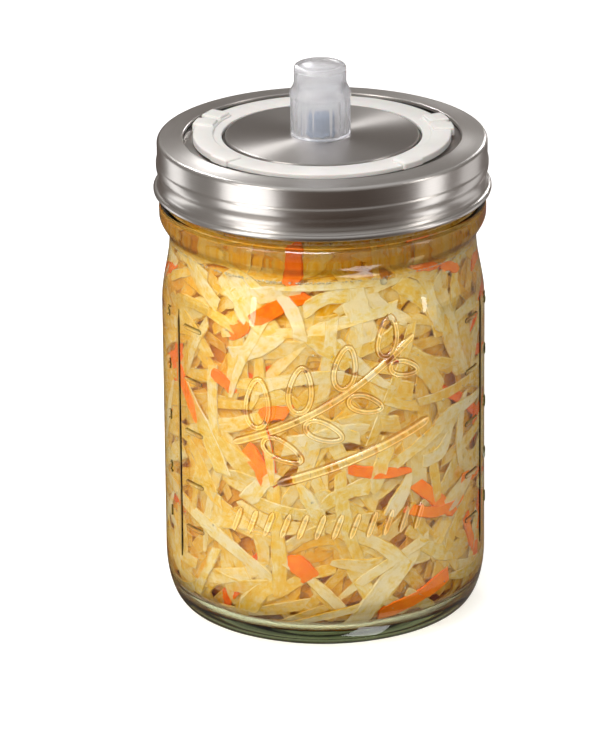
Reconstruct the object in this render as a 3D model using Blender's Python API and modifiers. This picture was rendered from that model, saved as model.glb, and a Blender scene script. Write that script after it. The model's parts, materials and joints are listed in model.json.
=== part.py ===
"""Wide-mouth fermentation jar: a pint glass jar packed with shredded vegetables, closed by a steel
screw band over a steel lid plate that carries a white plastic ring and a translucent airlock cap.

Metres, +Z up. The origin is the centre of the glass foot, and the front of the jar faces -Y.
"""

import math
import random

import bmesh
import bpy
from mathutils import Matrix, Vector

MM = 0.001
GAP = 0.3 * MM
MERGE = 0.00005

# Glass jar
JAR_SIDES = 40
BODY_R = 44.0 * MM
FOOT_R = 37.0 * MM
FOOT_EDGE = 1.2 * MM
HEEL_HEIGHT = 16.0 * MM
SHOULDER_Z = 88.0 * MM
NECK_R = 41.7 * MM
NECK_Z = 106.2 * MM
BEAD_R = 44.4 * MM
BEAD_LOW_Z = 111.2 * MM
BEAD_HIGH_Z = 116.4 * MM
FINISH_R = 42.2 * MM
THREAD_R = 43.2 * MM
THREAD_Z = 127.0 * MM
THREAD_HALF = 1.3 * MM
WALL = 2.9 * MM
BASE_THICK = 4.2 * MM
PUSH_UP = 1.6 * MM
PUSH_UP_R = 31.0 * MM
INNER_HEEL_R = 12.0 * MM
MOUTH_R = NECK_R - WALL

# Moulded measuring scale on the two sides, as angles from the front towards +X
SCALE_CENTRE = math.radians(5.6)
SCALE_LINE_ANGLE = math.radians(68.9)
SCALE_TICK_ANGLE = math.radians(60.3)
SCALE_TICK_LENGTH = 6.5 * MM
SCALE_LINE_LOW_Z = 20.0 * MM
SCALE_LINE_HIGH_Z = 91.5 * MM
SCALE_TICK_ZS = [30.0 * MM, 43.0 * MM, 58.0 * MM, 73.0 * MM, 88.0 * MM]
SCALE_BAR = 1.1 * MM
SCALE_PROUD = 0.45 * MM

# Screw band
BAND_TOP_Z = 133.7 * MM
BAND_SHEET = 0.5 * MM
BAND_HOLE_R = 37.6 * MM
BAND_LIP_Z = 134.1 * MM
BAND_LIP = 0.9 * MM
BAND_R = 44.75 * MM
BAND_CORNER = 1.1 * MM
BAND_STEP_Z = 128.3 * MM
BAND_RIDGE_R = 45.05 * MM
BAND_RIDGE_Z = 126.2 * MM
BAND_GROOVE_R = 44.1 * MM
BAND_GROOVE_Z = 123.4 * MM
BAND_SKIRT_R = 44.6 * MM
BAND_SKIRT_Z = 121.4 * MM
CURL_R = 0.85 * MM
CURL_Z = 119.9 * MM
CURL_OUT_R = 45.85 * MM

# Lid plate: a pressed disc with a raised centre
PLATE_SHEET = 0.5 * MM
PLATE_TOP_Z = 134.4 * MM
PLATE_CENTRE_R = 26.3 * MM
PLATE_CORNER = 0.7 * MM
PLATE_FLANGE_Z = BAND_LIP_Z - BAND_LIP - 2 * GAP
PLATE_RIM_R = 42.4 * MM
RIM_Z = PLATE_FLANGE_Z - PLATE_SHEET - GAP

# White ring round the raised centre, with angles from its own front towards each side
RING_TURN = math.radians(-4.5)
RING_IN_R = 27.1 * MM
RING_OUT_R = 34.6 * MM
RING_LOW_Z = PLATE_FLANGE_Z + GAP
RING_TOP_Z = 134.25 * MM
RING_EDGE = 0.4 * MM
PAD_IN_R = 29.4 * MM
PAD_OUT_R = 34.95 * MM
PAD_TOP_Z = 134.95 * MM
PAD_STEP = math.radians(9)
PAD_ANGLES = (math.radians(43.5), math.radians(97.0))
PAD_END_ANGLES = (math.radians(42.5), math.radians(54.0))
PAD_END_OUT_R = 35.4 * MM
GRIP_IN_R = 30.0 * MM
GRIP_OUT_R = 35.8 * MM
GRIP_TOP_Z = 135.45 * MM
GRIP_ANGLES = ((math.radians(96.0), math.radians(105.5)), (math.radians(109.0), math.radians(119.0)))
GRIP_WEB_ANGLES = (math.radians(96.0), math.radians(119.5))

# Airlock cap and the stem that shows through it
CAP_X = -0.4 * MM
CAP_LOW_Z = PLATE_TOP_Z + GAP
CAP_PANEL_R = 7.8 * MM
CAP_LEDGE_R = 8.3 * MM
CAP_LEDGE_Z = 145.4 * MM
CAP_NECK_R = 7.1 * MM
CAP_NECK_Z = 149.0 * MM
CAP_TOP_Z = 154.1 * MM
CAP_CORNER = 1.0 * MM
CAP_WALL = 1.1 * MM
CAP_SIDES = 36
RIBS = 18
RIB_WIDTH = 0.9 * MM
RIB_PROUD = 0.35 * MM
RIB_TURN = math.radians(3.0)
STEM_R = 3.4 * MM
STEM_TOP_Z = 141.0 * MM

# Shredded vegetables, packed against the glass
FILL_TOP_Z = 121.0 * MM
SHRED_TO_GLASS = 0.4 * MM
SHRED_PROUD = 1.3 * MM
SHRED_ROWS = 9
SHREDS_IN_ROW = 8
TOP_SHREDS = 8
SHRED_SEED = 11
SHRED_LENGTHS = (18.0 * MM, 32.0 * MM)
SHRED_WIDTHS = (3.4 * MM, 6.4 * MM)
SHRED_THICKNESSES = (2.3 * MM, 2.8 * MM)
SHRED_CUTS = 2


def clear_scene():
    for obj in list(bpy.data.objects):
        bpy.data.objects.remove(obj, do_unlink=True)


def new_collection(name):
    collection = bpy.data.collections.new(name)
    bpy.context.scene.collection.children.link(collection)
    return collection


def make_material(name, colour, roughness, metallic=0.0, transmission=0.0):
    material = bpy.data.materials.new(name)
    material.use_nodes = True
    shader = material.node_tree.nodes["Principled BSDF"]
    shader.inputs["Base Color"].default_value = (*colour, 1.0)
    shader.inputs["Roughness"].default_value = roughness
    shader.inputs["Metallic"].default_value = metallic
    shader.inputs["Transmission Weight"].default_value = transmission
    return material


def add_object(name, mesh, collection, material=None):
    obj = bpy.data.objects.new(name, mesh)
    collection.objects.link(obj)
    if material is not None:
        mesh.materials.append(material)
    return obj


def evaluated_mesh(obj):
    bpy.context.view_layer.update()
    graph = bpy.context.evaluated_depsgraph_get()
    return bpy.data.meshes.new_from_object(obj.evaluated_get(graph))


def apply_modifiers(obj):
    mesh = evaluated_mesh(obj)
    obj.modifiers.clear()
    obj.data = mesh


def shade(obj, angle=math.radians(35)):
    obj.data.shade_smooth()
    obj.data.set_sharp_from_angle(angle=angle)


def arc(centre_r, centre_z, radius, start, end, steps):
    """Points on an arc in the profile plane, with angles in degrees from +X towards +Z."""
    points = []
    for i in range(steps + 1):
        angle = math.radians(start + (end - start) * i / steps)
        points.append((centre_r + radius * math.cos(angle), centre_z + radius * math.sin(angle)))
    return points


def ease(start, end, steps):
    """Points of an S-shaped curve from one (r, z) to another, upright at both ends."""
    points = []
    for i in range(steps + 1):
        t = i / steps
        s = t * t * (3 - 2 * t)
        points.append((start[0] + (end[0] - start[0]) * s, start[1] + (end[1] - start[1]) * t))
    return points


def turned(name, profile, sides, collection, material, loop=True):
    """A profile of (r, z) points, turned about Z. A loop is a ring; otherwise both ends lie on the axis."""
    mesh = bpy.data.meshes.new(name)
    edges = [(i, i + 1) for i in range(len(profile) - 1)]
    if loop:
        edges.append((len(profile) - 1, 0))
    mesh.from_pydata([(r, 0.0, z) for r, z in profile], edges, [])
    obj = add_object(name, mesh, collection, material)
    screw = obj.modifiers.new("Turn", "SCREW")
    screw.angle = math.tau
    screw.steps = sides
    screw.render_steps = sides
    screw.use_merge_vertices = True
    screw.merge_threshold = MERGE
    screw.use_smooth_shade = False
    apply_modifiers(obj)
    return obj


def face_outward(bm):
    bmesh.ops.recalc_face_normals(bm, faces=bm.faces)
    if bm.calc_volume(signed=True) < 0:
        bmesh.ops.reverse_faces(bm, faces=bm.faces)


def box(name, size, place, collection):
    """A box of that size whose centre is put at place, a matrix."""
    mesh = bpy.data.meshes.new(name)
    bm = bmesh.new()
    bmesh.ops.create_cube(bm, size=1.0)
    bmesh.ops.transform(bm, matrix=place @ Matrix.Diagonal((*size, 1.0)), verts=bm.verts)
    bm.to_mesh(mesh)
    bm.free()
    return add_object(name, mesh, collection)


def combine(obj, helpers, operation, solver="EXACT"):
    """Joins the helper collection's objects to obj, or cuts them from it, and removes them."""
    step = obj.modifiers.new("Combine", "BOOLEAN")
    step.operation = operation
    step.operand_type = "COLLECTION"
    step.collection = helpers
    step.solver = solver
    apply_modifiers(obj)
    for helper in list(helpers.objects):
        bpy.data.objects.remove(helper, do_unlink=True)
    bpy.data.collections.remove(helpers)


def keep_largest_shell(obj):
    """Drops loose scraps and the walls of sealed hollows, so that one closed body is left."""
    bm = bmesh.new()
    bm.from_mesh(obj.data)
    bmesh.ops.triangulate(bm, faces=bm.faces)
    unseen = set(bm.faces)
    shells = []
    while unseen:
        stack = [unseen.pop()]
        shell = []
        while stack:
            face = stack.pop()
            shell.append(face)
            plain_edges = [edge for edge in face.edges if len(edge.link_faces) == 2]
            for edge in plain_edges:
                for other in edge.link_faces:
                    if other in unseen:
                        unseen.remove(other)
                        stack.append(other)
        shells.append(shell)
    shells.sort(key=len)
    for shell in shells[:-1]:
        bmesh.ops.delete(bm, geom=shell, context="FACES")
    loose = [v for v in bm.verts if not v.link_faces]
    bmesh.ops.delete(bm, geom=loose, context="VERTS")
    bm.to_mesh(obj.data)
    bm.free()


def around(angle, radius, z):
    """A frame on the jar's side: X along the wall, Y out of the front, Z up. Angle 0 is the front."""
    return Matrix.Rotation(angle, 4, "Z") @ Matrix.Translation((0.0, -radius, z))


def glass_profile():
    """The jar's section as one loop: down the outside, across the foot and up the inside."""
    heel_r = BODY_R - FOOT_R - FOOT_EDGE
    heel = []
    for i in range(1, 5):
        turn = math.radians(90 * i / 5)
        heel.append(
            (
                BODY_R - heel_r * (1 - math.cos(turn)),
                HEEL_HEIGHT - (HEEL_HEIGHT - FOOT_EDGE) * math.sin(turn),
            )
        )
    outside = [
        (MOUTH_R + 0.8 * MM, RIM_Z),
        (FINISH_R - 0.8 * MM, RIM_Z),
        (FINISH_R, RIM_Z - 0.8 * MM),
        (FINISH_R, THREAD_Z + THREAD_HALF),
        (THREAD_R, THREAD_Z),
        (FINISH_R, THREAD_Z - THREAD_HALF),
        (FINISH_R, BEAD_HIGH_Z + 0.5 * MM),
        *arc(BEAD_R - 1.6 * MM, BEAD_HIGH_Z - 1.6 * MM, 1.6 * MM, 80, 0, 2),
        (BEAD_R, BEAD_LOW_Z + 1.0 * MM),
        *ease((BEAD_R - 0.4 * MM, BEAD_LOW_Z), (NECK_R, NECK_Z), 3),
        *ease((NECK_R, NECK_Z), (BODY_R, SHOULDER_Z), 4)[1:],
        (BODY_R, HEEL_HEIGHT),
        *heel,
        (FOOT_R + FOOT_EDGE * 0.3, FOOT_EDGE * 0.3),
        (FOOT_R - FOOT_EDGE, 0.0),
        (PUSH_UP_R, 0.0),
        (PUSH_UP_R - 2.0 * MM, PUSH_UP),
        (0.0, PUSH_UP + 0.6 * MM),
    ]
    floor_z = BASE_THICK + PUSH_UP * 0.4
    inner_r = BODY_R - WALL
    inside = [
        (0.0, floor_z + 0.6 * MM),
        *arc(inner_r - INNER_HEEL_R, floor_z + INNER_HEEL_R, INNER_HEEL_R, -90, 0, 4),
        (inner_r, SHOULDER_Z),
        *ease((inner_r, SHOULDER_Z), (MOUTH_R, NECK_Z), 3)[1:],
        (MOUTH_R, RIM_Z - 0.8 * MM),
    ]
    return outside, inside


def inner_radius(z):
    """The radius of the glass's inner wall at a height."""
    _, inside = glass_profile()
    if z <= inside[1][1]:
        return inside[1][0]
    for (r0, z0), (r1, z1) in zip(inside, inside[1:]):
        if z0 <= z <= z1 and z1 > z0:
            return r0 + (r1 - r0) * (z - z0) / (z1 - z0)
    return MOUTH_R


def build_jar(parts, material):
    outside, inside = glass_profile()
    profile = outside + inside
    # The open surface starts and ends at the rim and is closed there by one more edge
    mesh = bpy.data.meshes.new("jar_glass")
    edges = [(i, i + 1) for i in range(len(profile) - 1) if i != len(outside) - 1]
    edges.append((len(profile) - 1, 0))
    mesh.from_pydata([(r, 0.0, z) for r, z in profile], edges, [])
    jar = add_object("jar_glass", mesh, parts, material)
    screw = jar.modifiers.new("Turn", "SCREW")
    screw.angle = math.tau
    screw.steps = JAR_SIDES
    screw.render_steps = JAR_SIDES
    screw.use_merge_vertices = True
    screw.merge_threshold = MERGE
    apply_modifiers(jar)
    bars = new_collection("scale_bars")
    depth = 2.0 * MM
    out = BODY_R + SCALE_PROUD - depth / 2
    line_length = SCALE_LINE_HIGH_Z - SCALE_LINE_LOW_Z
    line_mid_z = (SCALE_LINE_HIGH_Z + SCALE_LINE_LOW_Z) / 2
    for side in (-1, 1):
        place = around(SCALE_CENTRE + side * SCALE_LINE_ANGLE, out, line_mid_z)
        box("scale_line", (SCALE_BAR, depth, line_length), place, bars)
        for z in SCALE_TICK_ZS:
            place = around(SCALE_CENTRE + side * SCALE_TICK_ANGLE, out, z)
            box("scale_tick", (SCALE_TICK_LENGTH, depth, SCALE_BAR), place, bars)
    combine(jar, bars, "UNION")
    keep_largest_shell(jar)
    shade(jar)
    return jar


def build_band(parts, material):
    inner_wall_r = BAND_R - BAND_SHEET
    curl_r = CURL_OUT_R - CURL_R
    lip = 0.3 * MM
    profile = [
        (BAND_HOLE_R + lip, BAND_LIP_Z),
        (BAND_R - BAND_CORNER, BAND_TOP_Z),
        *arc(BAND_R - BAND_CORNER, BAND_TOP_Z - BAND_CORNER, BAND_CORNER, 50, 0, 1),
        (BAND_R, BAND_STEP_Z),
        (BAND_RIDGE_R, BAND_STEP_Z - 0.9 * MM),
        (BAND_RIDGE_R, BAND_RIDGE_Z - 0.9 * MM),
        (BAND_GROOVE_R, BAND_GROOVE_Z),
        (BAND_SKIRT_R, BAND_SKIRT_Z),
        *arc(curl_r, CURL_Z, CURL_R, 70, -90, 3),
        (BAND_SKIRT_R - BAND_SHEET, CURL_Z - CURL_R),
        (BAND_GROOVE_R - BAND_SHEET, BAND_GROOVE_Z),
        (inner_wall_r, BAND_RIDGE_Z - 0.9 * MM),
        (inner_wall_r, BAND_TOP_Z - BAND_SHEET),
        (BAND_HOLE_R + BAND_SHEET, BAND_LIP_Z - BAND_SHEET),
        (BAND_HOLE_R + BAND_SHEET, BAND_LIP_Z - BAND_LIP),
        (BAND_HOLE_R, BAND_LIP_Z - BAND_LIP),
        (BAND_HOLE_R, BAND_LIP_Z - lip),
    ]
    band = turned("screw_band", profile, JAR_SIDES, parts, material)
    shade(band)
    return band


def build_plate(parts, material):
    inner_r = PLATE_CENTRE_R - PLATE_SHEET
    profile = [
        (0.0, PLATE_TOP_Z),
        (PLATE_CENTRE_R - PLATE_CORNER, PLATE_TOP_Z),
        (PLATE_CENTRE_R - 0.2 * MM, PLATE_TOP_Z - 0.2 * MM),
        (PLATE_CENTRE_R, PLATE_TOP_Z - PLATE_CORNER),
        (PLATE_CENTRE_R, PLATE_FLANGE_Z),
        (PLATE_RIM_R, PLATE_FLANGE_Z),
        (PLATE_RIM_R, PLATE_FLANGE_Z - PLATE_SHEET),
        (inner_r, PLATE_FLANGE_Z - PLATE_SHEET),
        (inner_r, PLATE_TOP_Z - PLATE_SHEET),
        (0.0, PLATE_TOP_Z - PLATE_SHEET),
    ]
    plate = turned("lid_plate", profile, JAR_SIDES, parts, material, loop=False)
    shade(plate)
    return plate


def ring_block(collection, angles, in_r, out_r, top_z):
    """A raised piece of the ring between two angles from the front: a bar bent round, with bevelled top edges."""
    low_z = RING_LOW_Z + 0.3 * MM
    start, end = min(angles), max(angles)
    length = (end - start) * out_r
    bm = bmesh.new()
    bmesh.ops.create_cube(bm, size=1.0)
    bmesh.ops.transform(bm, matrix=Matrix.Diagonal((length, out_r - in_r, top_z - low_z, 1.0)), verts=bm.verts)
    top_edges = [e for e in bm.edges if min(v.co.z for v in e.verts) > 0]
    bmesh.ops.bevel(bm, geom=top_edges, offset=RING_EDGE, segments=1, affect="EDGES")
    along = [e for e in bm.edges if abs(e.verts[0].co.x - e.verts[1].co.x) > length / 2]
    cuts = max(1, round((end - start) / PAD_STEP) - 1)
    bmesh.ops.subdivide_edges(bm, edges=along, cuts=cuts)
    for vert in bm.verts:
        angle = (start + end) / 2 + vert.co.x / out_r
        radius = (in_r + out_r) / 2 - vert.co.y
        vert.co = (radius * math.sin(angle), -radius * math.cos(angle), (top_z + low_z) / 2 + vert.co.z)
    face_outward(bm)
    mesh = bpy.data.meshes.new("ring_block")
    bm.to_mesh(mesh)
    bm.free()
    return add_object("ring_block", mesh, collection)


def build_ring(parts, material):
    profile = [
        (RING_IN_R + 0.2 * MM, RING_TOP_Z),
        (RING_OUT_R - RING_EDGE, RING_TOP_Z),
        (RING_OUT_R, RING_TOP_Z - RING_EDGE),
        (RING_OUT_R, RING_LOW_Z),
        (RING_IN_R, RING_LOW_Z),
        (RING_IN_R, RING_TOP_Z - 0.2 * MM),
    ]
    ring = turned("lid_ring", profile, JAR_SIDES, parts, material)
    blocks = new_collection("ring_blocks")
    for side in (-1, 1):
        shapes = [
            (PAD_ANGLES, PAD_IN_R, PAD_OUT_R, PAD_TOP_Z),
            (PAD_END_ANGLES, PAD_IN_R + 0.2 * MM, PAD_END_OUT_R, PAD_TOP_Z - 0.1 * MM),
            (GRIP_WEB_ANGLES, PAD_IN_R + 0.1 * MM, PAD_OUT_R + 0.15 * MM, PAD_TOP_Z - 0.15 * MM),
            *((angles, GRIP_IN_R, GRIP_OUT_R, GRIP_TOP_Z) for angles in GRIP_ANGLES),
        ]
        for angles, in_r, out_r, top_z in shapes:
            ring_block(blocks, [RING_TURN + side * angle for angle in angles], in_r, out_r, top_z)
    combine(ring, blocks, "UNION")
    keep_largest_shell(ring)
    shade(ring)
    return ring


def build_cap(parts, material):
    profile = [
        (0.0, CAP_TOP_Z),
        (CAP_NECK_R - CAP_CORNER, CAP_TOP_Z),
        *arc(CAP_NECK_R - CAP_CORNER, CAP_TOP_Z - CAP_CORNER, CAP_CORNER, 50, 0, 1),
        *ease((CAP_NECK_R, CAP_NECK_Z), (CAP_LEDGE_R, CAP_LEDGE_Z + 0.4 * MM), 2),
        (CAP_LEDGE_R, CAP_LEDGE_Z),
        (CAP_PANEL_R, CAP_LEDGE_Z - 0.3 * MM),
        (CAP_PANEL_R, CAP_LOW_Z + 0.6 * MM),
        (CAP_PANEL_R + RIB_PROUD, CAP_LOW_Z + 0.4 * MM),
        (CAP_PANEL_R + RIB_PROUD, CAP_LOW_Z),
        (CAP_PANEL_R - CAP_WALL, CAP_LOW_Z),
        (CAP_PANEL_R - CAP_WALL, CAP_LEDGE_Z),
        (CAP_NECK_R - CAP_WALL, CAP_NECK_Z),
        (CAP_NECK_R - CAP_WALL, CAP_TOP_Z - CAP_WALL),
        (0.0, CAP_TOP_Z - CAP_WALL),
    ]
    cap = turned("airlock_cap", profile, CAP_SIDES, parts, material, loop=False)
    ribs = new_collection("ribs")
    low = CAP_LOW_Z + 0.2 * MM
    high = CAP_LEDGE_Z - 0.15 * MM
    for i in range(RIBS):
        turn = RIB_TURN + math.tau * i / RIBS
        place = around(turn, CAP_PANEL_R - 0.05 * MM, (low + high) / 2)
        box("rib", (RIB_WIDTH, 2 * RIB_PROUD, high - low), place, ribs)
    combine(cap, ribs, "UNION")
    keep_largest_shell(cap)
    cap.location.x = CAP_X
    shade(cap)
    return cap


def build_stem(parts, material):
    low = PLATE_TOP_Z + GAP
    profile = [
        (0.0, STEM_TOP_Z),
        (STEM_R - 1.2 * MM, STEM_TOP_Z),
        (STEM_R, STEM_TOP_Z - 1.2 * MM),
        (STEM_R, low),
        (0.0, low),
    ]
    stem = turned("airlock_stem", profile, 16, parts, material, loop=False)
    stem.location.x = CAP_X
    shade(stem)
    return stem


def shred(collection, length, width, thickness, curl, to_world):
    """A cut strip with a square section, tapered ends and a sideways curl, laid on the heap by to_world."""
    mesh = bpy.data.meshes.new("shred")
    bm = bmesh.new()
    bmesh.ops.create_cube(bm, size=1.0)
    along = [e for e in bm.edges if abs(e.verts[0].co.x - e.verts[1].co.x) > 0.5]
    bmesh.ops.subdivide_edges(bm, edges=along, cuts=SHRED_CUTS)
    for vert in bm.verts:
        along_t = vert.co.x * 2
        taper = 1.0 - 0.25 * along_t * along_t
        s = vert.co.x * length
        side = vert.co.y * width * taper + curl * along_t * along_t
        out = vert.co.z * thickness
        vert.co = to_world(s, side, out)
    face_outward(bm)
    bm.to_mesh(mesh)
    bm.free()
    return add_object("shred", mesh, collection)


def side_placer(angle, z, tilt, thickness):
    """Maps a strip's own (along, side, out) to the jar's inner wall, where it lies on the heap's face."""

    def place(s, side, out):
        u = s * math.cos(tilt) - side * math.sin(tilt)
        v = s * math.sin(tilt) + side * math.cos(tilt)
        height = min(max(z + v, BASE_THICK + 3.0 * MM), FILL_TOP_Z + 0.5 * MM)
        radius = inner_radius(height) - SHRED_TO_GLASS - thickness / 2 + out
        turn = angle + u / BODY_R
        return Vector((radius * math.sin(turn), -radius * math.cos(turn), height))

    return place


def top_placer(x, y, tilt, thickness):
    """Lays a strip flat on top of the heap."""

    def place(s, side, out):
        u = s * math.cos(tilt) - side * math.sin(tilt)
        v = s * math.sin(tilt) + side * math.cos(tilt)
        return Vector((x + u, y + v, FILL_TOP_Z + out + thickness * 0.2))

    return place


def build_vegetables(parts, material):
    back = SHRED_TO_GLASS + SHRED_PROUD
    floor_z = BASE_THICK + PUSH_UP * 0.4 + 0.6 * MM + GAP
    inner_r = BODY_R - WALL - back
    heel = INNER_HEEL_R - back - 1.5 * MM
    profile = [
        (0.0, FILL_TOP_Z),
        (MOUTH_R - back - 1.0 * MM, FILL_TOP_Z),
        (MOUTH_R - back, FILL_TOP_Z - 1.5 * MM),
        (MOUTH_R - back, NECK_Z),
        *ease((MOUTH_R - back, NECK_Z), (inner_r, SHOULDER_Z), 3)[1:],
        (inner_r, floor_z + heel),
        *arc(inner_r - heel, floor_z + heel, heel, -22.5, -90, 3),
        (0.0, floor_z),
    ]
    heap = turned("shredded_vegetables", profile, JAR_SIDES, parts, material, loop=False)
    dice = random.Random(SHRED_SEED)
    pieces = new_collection("shreds")
    low_z = 16.0 * MM
    high_z = 114.0 * MM
    for row in range(SHRED_ROWS):
        z_row = low_z + (high_z - low_z) * row / (SHRED_ROWS - 1)
        for k in range(SHREDS_IN_ROW):
            turn = math.tau * (k + 0.5 * (row % 2) + dice.uniform(-0.2, 0.2)) / SHREDS_IN_ROW
            z = z_row + dice.uniform(-3.5, 3.5) * MM
            near_end = row in (0, SHRED_ROWS - 1)
            tilt = dice.uniform(-0.35, 0.35) if near_end else dice.uniform(-1.45, 1.45)
            thickness = dice.uniform(*SHRED_THICKNESSES)
            length = dice.uniform(*SHRED_LENGTHS)
            width = dice.uniform(*SHRED_WIDTHS)
            curl = dice.uniform(-1.6, 1.6) * MM
            placer = side_placer(turn, z, tilt, thickness)
            shred(pieces, length, width, thickness, curl, placer)
    for k in range(TOP_SHREDS):
        turn = math.tau * k / TOP_SHREDS
        reach = 22.0 * MM * math.sqrt(dice.uniform(0.05, 1.0))
        thickness = dice.uniform(*SHRED_THICKNESSES)
        placer = top_placer(
            reach * math.cos(turn), reach * math.sin(turn), dice.uniform(0, math.pi), thickness
        )
        shred(pieces, dice.uniform(*SHRED_LENGTHS) * 0.8, dice.uniform(*SHRED_WIDTHS), thickness, 0, placer)
    combine(heap, pieces, "UNION", solver="MANIFOLD")
    keep_largest_shell(heap)
    shade(heap)
    return heap


def main():
    clear_scene()
    parts = new_collection("fermentation_jar")
    glass = make_material("glass", (0.93, 0.95, 0.88), 0.03, transmission=1.0)
    steel = make_material("steel", (0.62, 0.60, 0.58), 0.3, metallic=1.0)
    white = make_material("white_plastic", (0.88, 0.87, 0.85), 0.35)
    frosted = make_material("frosted_plastic", (0.80, 0.81, 0.84), 0.3, transmission=0.6)
    grey_blue = make_material("grey_blue_silicone", (0.33, 0.42, 0.52), 0.5)
    vegetables = make_material("pickled_shreds", (0.86, 0.73, 0.42), 0.4)
    build_jar(parts, glass)
    build_vegetables(parts, vegetables)
    build_band(parts, steel)
    build_plate(parts, steel)
    build_ring(parts, white)
    build_cap(parts, frosted)
    build_stem(parts, grey_blue)


main()
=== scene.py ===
"""The looks of the fermentation jar: glass, brine, cabbage and carrot shreds, steel band, lid and airlock.

Metres, +Z up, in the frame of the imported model. The front of the jar faces -Y.
"""

import json
import math
import random

import bmesh
import bpy
import numpy as np
from mathutils import Matrix, Vector

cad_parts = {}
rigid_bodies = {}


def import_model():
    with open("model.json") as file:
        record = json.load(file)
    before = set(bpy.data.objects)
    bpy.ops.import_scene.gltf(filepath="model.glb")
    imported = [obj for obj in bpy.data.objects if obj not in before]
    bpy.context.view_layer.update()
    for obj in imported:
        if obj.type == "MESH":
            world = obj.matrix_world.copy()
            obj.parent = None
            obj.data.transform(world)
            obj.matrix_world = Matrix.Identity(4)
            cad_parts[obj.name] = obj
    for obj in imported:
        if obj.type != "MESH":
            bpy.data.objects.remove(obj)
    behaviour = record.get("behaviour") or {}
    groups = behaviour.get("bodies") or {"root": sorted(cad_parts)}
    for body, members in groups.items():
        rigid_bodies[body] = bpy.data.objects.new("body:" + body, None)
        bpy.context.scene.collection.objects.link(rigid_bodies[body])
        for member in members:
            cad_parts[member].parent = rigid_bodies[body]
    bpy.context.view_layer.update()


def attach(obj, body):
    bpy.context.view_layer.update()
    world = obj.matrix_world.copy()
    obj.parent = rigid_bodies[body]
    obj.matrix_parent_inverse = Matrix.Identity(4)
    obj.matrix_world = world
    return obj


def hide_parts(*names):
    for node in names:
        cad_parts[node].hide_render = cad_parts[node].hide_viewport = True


MM = 0.001

# Camera
CAMERA_PLACE = (-0.00658, -1.528, 0.6358)
CAMERA_PITCH = 0.3576
CAMERA_ROLL = -0.009674
CAMERA_LENS = 285.55

# Glass, as in the solids
BODY_R = 44.0 * MM
FOOT_R = 37.0 * MM
FOOT_EDGE = 1.2 * MM
HEEL_HEIGHT = 16.0 * MM
SHOULDER_Z = 88.0 * MM
NECK_R = 41.7 * MM
NECK_Z = 106.2 * MM
BEAD_R = 44.4 * MM
BEAD_LOW_Z = 111.2 * MM
BEAD_HIGH_Z = 116.4 * MM
FINISH_R = 42.2 * MM
RIM_Z = 131.8 * MM
WALL = 2.9 * MM
PUSH_UP = 1.6 * MM
PUSH_UP_R = 31.0 * MM
INNER_HEEL_R = 12.0 * MM
FLOOR_Z = 4.84 * MM
MOUTH_R = NECK_R - WALL
GLASS_SIDES = 240

# Measuring scale and ornament, raised on the glass, with angles from the front in degrees
SCALE_CENTRE = 5.6
SCALE_LINE = 68.9
SCALE_TICK = 59.3
SCALE_NUMBER = 77.0
SCALE_TICK_ZS = [30.0 * MM, 43.0 * MM, 58.0 * MM, 73.0 * MM, 88.0 * MM]
SCALE_LINE_ZS = (20.0 * MM, 91.5 * MM)
SCALE_TICK_LENGTH = 7.9 * MM
SCALE_PROUD = 0.5 * MM
RELIEF_ZS = (16.2 * MM, 95.0 * MM)
BEAD_RELIEF_Z = NECK_Z + 0.6 * MM
SCALE_SIDE = 0.72
STROKE = 1.25 * MM
PROUD = 0.75 * MM
SPRIG_START = (-26.0 * MM, 59.5 * MM)
SPRIG_END = (25.0 * MM, 90.0 * MM)
STROKE_START = (-13.0 * MM, 49.5 * MM)
STROKE_END = (30.0 * MM, 65.0 * MM)
LEAF_LENGTH = 14.0 * MM
BAR_COUNT = 12
BAR_STEP = 4.7 * MM
BAR_START = -25.0 * MM
BAR_ZS = (34.0 * MM, 41.0 * MM)
BAR_LEAN = 1.3 * MM

# Band, plate, ring, cap
BAND_TOP_Z = 133.7 * MM
BAND_LIP_Z = 134.1 * MM
BAND_SHEET = 0.5 * MM
BAND_HOLE_R = 37.6 * MM
BAND_R = 44.75 * MM
BAND_INSIDE_R = 44.25 * MM
BAND_RIDGE_R = 45.05 * MM
BAND_GROOVE_R = 44.1 * MM
BAND_CURL_R = 45.0 * MM
BAND_CURL_Z = 119.9 * MM
BAND_CURL = 0.85 * MM
PLATE_TOP_Z = 134.4 * MM
PLATE_CENTRE_R = 26.3 * MM
PLATE_FLANGE_Z = 132.6 * MM
PLATE_RIM_R = 42.4 * MM
RING_TURN = math.radians(-4.5)
RING_IN_R = 27.1 * MM
RING_OUT_R = 34.6 * MM
RING_LOW_Z = 132.9 * MM
RING_TOP_Z = 134.25 * MM
PAD_IN_R = 29.4 * MM
PAD_OUT_R = 34.95 * MM
PAD_TOP_Z = 134.95 * MM
GRIP_R = 35.8 * MM
GRIP_TOP_Z = 135.45 * MM
BLOCK_EDGE = 0.45 * MM
CAP_X = -0.4 * MM
CAP_LOW_Z = PLATE_TOP_Z + 0.1 * MM
CAP_PANEL_R = 7.8 * MM
CAP_LEDGE_R = 8.3 * MM
CAP_LEDGE_Z = 145.4 * MM
CAP_NECK_R = 7.1 * MM
CAP_NECK_Z = 149.0 * MM
CAP_TOP_Z = 154.1 * MM
CAP_WALL = 1.1 * MM
RIBS = 18
RIB_TURN = math.radians(3.0)
STEM_R = 3.4 * MM
STEM_TOP_Z = 141.0 * MM

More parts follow.
